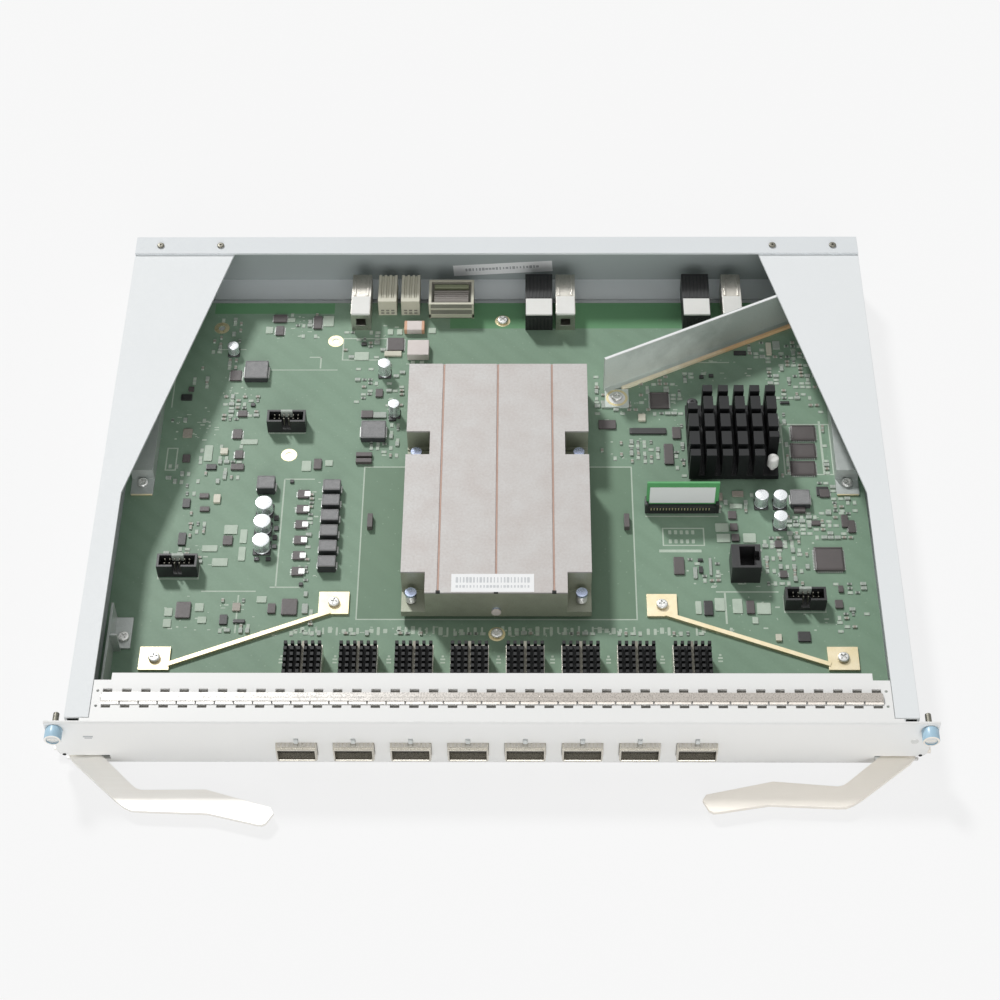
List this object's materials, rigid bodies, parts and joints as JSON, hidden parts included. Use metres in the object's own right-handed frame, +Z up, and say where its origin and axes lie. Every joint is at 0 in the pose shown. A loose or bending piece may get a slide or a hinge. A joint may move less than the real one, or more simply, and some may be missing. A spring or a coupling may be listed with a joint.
{
  "type": "switch line card",
  "caption": "Switch line card with a slotted front panel, eight pluggable-module ports, two ejector levers and a finned main board, in an open protective box.",
  "frame": {"origin": "centre of the underside of the chassis, on the surface it rests on", "axes": "+X to the right along the front panel, +Y from the front panel to the rear connectors, +Z up"},
  "size_m": [0.427, 0.3663, 0.0362],
  "materials": {
    "panel_paint": "fine matt light grey paint",
    "gasket_metal": "bright plated spring metal",
    "clear_plastic": "cloudy clear plastic",
    "tray_steel": "plain zinc-plated sheet",
    "box_paint": "smooth matt light grey paint",
    "rivet_metal": "plain metal",
    "lever_nickel": "satin nickel plate",
    "pin_steel": "plated steel",
    "captive_blue": "light blue sleeve",
    "board_green": "green solder mask",
    "rail_steel": "plated steel",
    "stiffener_gold": "pale yellow passivated metal",
    "baffle_metal": "plain sheet",
    "heatsink_metal": "dull nickel plate with a warm tint",
    "chip_black": "black moulding",
    "heatsink_black": "black anodised",
    "push_pin_white": "white plastic",
    "cage_nickel": "plated sheet metal",
    "connector_black": "black plastic",
    "connector_cream": "cream plastic",
    "guide_zinc": "bright die casting",
    "inductor_grey": "dark grey moulded powder",
    "capacitor_metal": "aluminium can"
  },
  "bodies": {
    "chassis": {"front_panel": "panel_paint", "gasket_strip": "gasket_metal", "light_pipes": "clear_plastic", "bottom_tray": "tray_steel", "corner_bracket": "tray_steel", "box_floor": "box_paint", "box_side_left": "box_paint", "box_side_right": "box_paint", "box_rear_bar": "box_paint", "box_rivets": "rivet_metal", "lever_pins": "pin_steel", "board_screws": "pin_steel", "heatsink_screws": "pin_steel", "heatsink_springs": "pin_steel", "main_board": "board_green", "memory_module": "board_green", "side_rail_left": "rail_steel", "side_rail_right": "rail_steel", "stiffener_left": "stiffener_gold", "stiffener_right": "stiffener_gold", "air_baffle": "baffle_metal", "heatsink_base": "heatsink_metal", "heatsink_fins": "heatsink_metal", "heatsink_cover": "heatsink_metal", "switch_chip": "chip_black", "cpu_chip": "chip_black", "chips": "chip_black", "cpu_heatsink": "heatsink_black", "cage_heatsink_1": "heatsink_black", "cage_heatsink_2": "heatsink_black", "cage_heatsink_3": "heatsink_black", "cage_heatsink_4": "heatsink_black", "cage_heatsink_5": "heatsink_black", "cage_heatsink_6": "heatsink_black", "cage_heatsink_7": "heatsink_black", "cage_heatsink_8": "heatsink_black", "push_pins": "push_pin_white", "port_cage_1": "cage_nickel", "port_cage_2": "cage_nickel", "port_cage_3": "cage_nickel", "port_cage_4": "cage_nickel", "port_cage_5": "cage_nickel", "port_cage_6": "cage_nickel", "port_cage_7": "cage_nickel", "port_cage_8": "cage_nickel", "cage_clips": "cage_nickel", "port_connectors": "connector_black", "signal_connectors": "connector_black", "box_headers": "connector_black", "console_jack": "connector_black", "memory_socket": "connector_black", "power_connectors": "connector_cream", "backplane_header": "connector_cream", "guide_modules": "guide_zinc", "inductors": "inductor_grey", "capacitors": "capacitor_metal"},
    "left_lever": {"lever_left": "lever_nickel"},
    "right_lever": {"lever_right": "lever_nickel"},
    "left_screw": {"thumbscrew_left": "captive_blue"},
    "right_screw": {"thumbscrew_right": "captive_blue"}
  },
  "joints": [
    {"name": "left_lever_pivot", "type": "hinge", "parent": "chassis", "child": "left_lever", "pos_m": [-0.1995, -0.157, 0.004], "axis": [0, 0, -1], "range_deg": [-4.5, 40.5]},
    {"name": "right_lever_pivot", "type": "hinge", "parent": "chassis", "child": "right_lever", "pos_m": [0.1995, -0.157, 0.004], "axis": [0, 0, 1], "range_deg": [0, 45]},
    {"name": "left_screw_turn", "type": "hinge", "parent": "chassis", "child": "left_screw", "pos_m": [-0.209, -0.164, 0.0288], "axis": [0, 1, 0], "continuous": true},
    {"name": "right_screw_turn", "type": "hinge", "parent": "chassis", "child": "right_screw", "pos_m": [0.209, -0.164, 0.0288], "axis": [0, 1, 0], "continuous": true}
  ]
}
